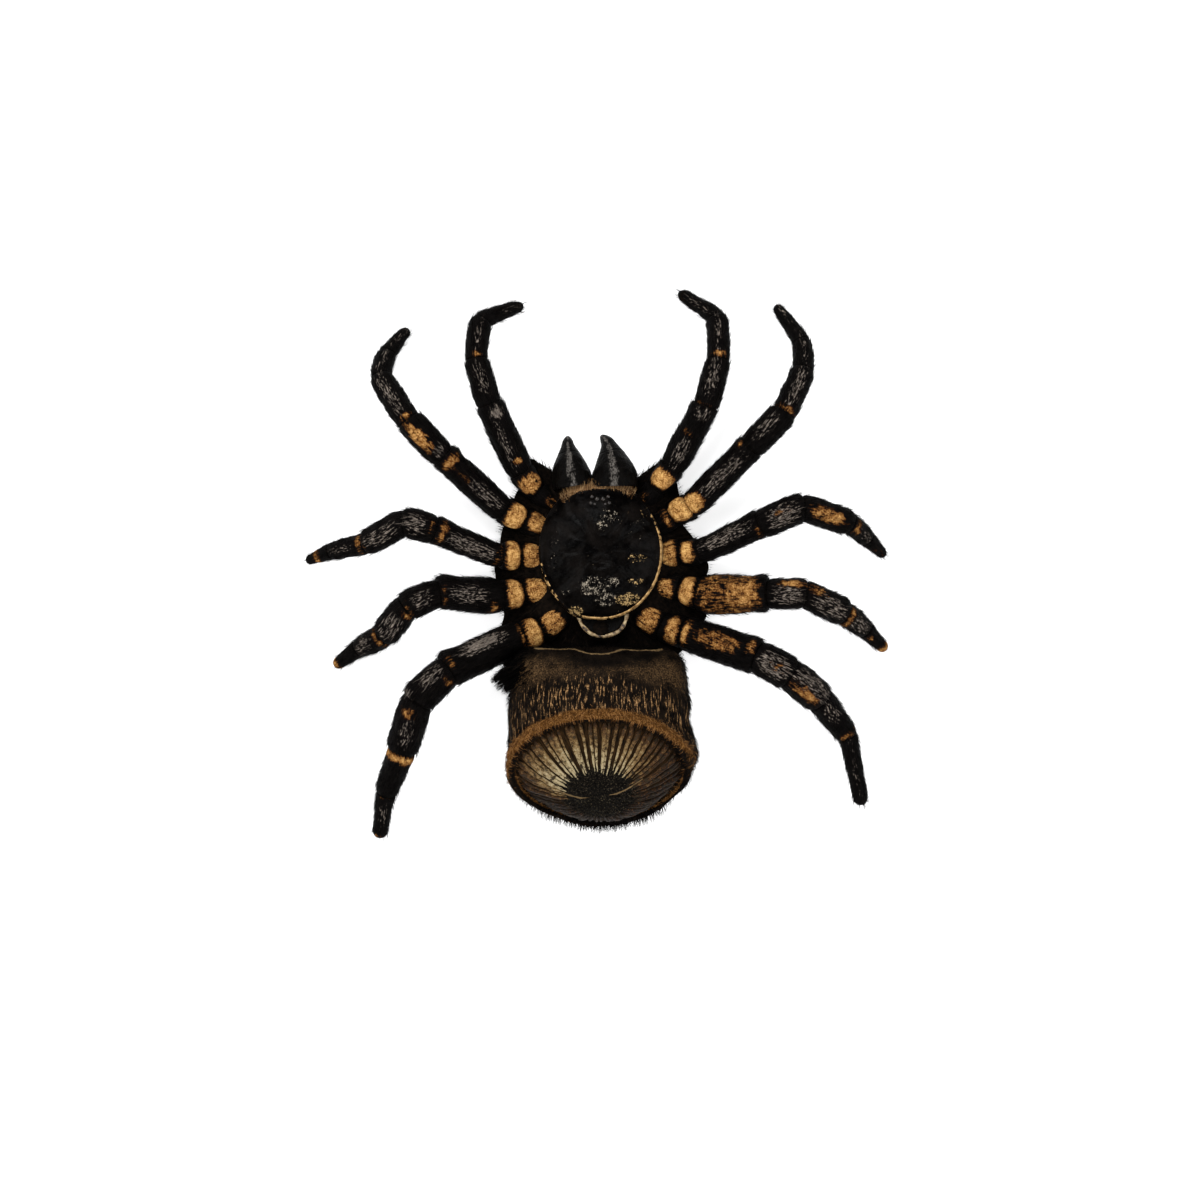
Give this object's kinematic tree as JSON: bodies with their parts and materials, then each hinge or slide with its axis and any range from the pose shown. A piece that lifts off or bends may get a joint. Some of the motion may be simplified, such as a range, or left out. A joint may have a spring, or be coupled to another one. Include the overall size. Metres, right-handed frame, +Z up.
{
  "type": "dried tarantula specimen",
  "caption": "Dried, spread spider specimen of the tarantula kind, with a glossy round shield, forward fangs and a blunt, ribbed abdomen. It lies flat on its underside.",
  "frame": {"origin": "middle of the sternum's flat underside, which rests on the surface", "axes": "+Y to the head, +Z up out of the back, +X to the spider's own right, across its widest span"},
  "size_m": [0.1046, 0.0984, 0.0219],
  "materials": {
    "shield": "glossy black horny shield with a thin ochre rim and dusty crust",
    "skin": "black dried skin with short hair, grey rubbed streaks and ochre patches",
    "joint_skin": "ochre, dry and mottled hip skin on a black ground",
    "horn": "glossy black horn",
    "abdomen": "black-brown wrinkled skin with an ochre rim and a ribbed end disc, hairy at the edge"
  },
  "bodies": {
    "root": {"carapace": "shield", "sternum": "skin", "pedicel": "skin", "abdomen": "abdomen", "chelicera_left": "horn", "chelicera_right": "horn", "fang_left": "horn", "fang_right": "horn", "spinneret_left": "skin", "spinneret_right": "skin", "leg_1_left_coxa": "joint_skin", "leg_1_left_trochanter": "joint_skin", "leg_1_left_femur": "skin", "leg_1_left_patella_tibia": "skin", "leg_1_left_metatarsus_tarsus": "skin", "leg_1_right_coxa": "joint_skin", "leg_1_right_trochanter": "joint_skin", "leg_1_right_femur": "skin", "leg_1_right_patella_tibia": "skin", "leg_1_right_metatarsus_tarsus": "skin", "leg_2_left_coxa": "joint_skin", "leg_2_left_trochanter": "joint_skin", "leg_2_left_femur": "skin", "leg_2_left_patella_tibia": "skin", "leg_2_left_metatarsus_tarsus": "skin", "leg_2_right_coxa": "joint_skin", "leg_2_right_trochanter": "joint_skin", "leg_2_right_femur": "skin", "leg_2_right_patella_tibia": "skin", "leg_2_right_metatarsus_tarsus": "skin", "leg_3_left_coxa": "joint_skin", "leg_3_left_trochanter": "joint_skin", "leg_3_left_femur": "skin", "leg_3_left_patella_tibia": "skin", "leg_3_left_metatarsus_tarsus": "skin", "leg_3_right_coxa": "joint_skin", "leg_3_right_trochanter": "joint_skin", "leg_3_right_femur": "skin", "leg_3_right_patella_tibia": "skin", "leg_3_right_metatarsus_tarsus": "skin", "leg_4_left_coxa": "joint_skin", "leg_4_left_trochanter": "joint_skin", "leg_4_left_femur": "skin", "leg_4_left_patella_tibia": "skin", "leg_4_left_metatarsus_tarsus": "skin", "leg_4_right_coxa": "joint_skin", "leg_4_right_trochanter": "joint_skin", "leg_4_right_femur": "skin", "leg_4_right_patella_tibia": "skin", "leg_4_right_metatarsus_tarsus": "skin", "palp_left_coxa": "joint_skin", "palp_left_trochanter": "joint_skin", "palp_left_femur": "skin", "palp_left_patella_tibia": "skin", "palp_left_tarsus": "skin", "palp_right_coxa": "joint_skin", "palp_right_trochanter": "joint_skin", "palp_right_femur": "skin", "palp_right_patella_tibia": "skin", "palp_right_tarsus": "skin"}
  },
  "joints": []
}
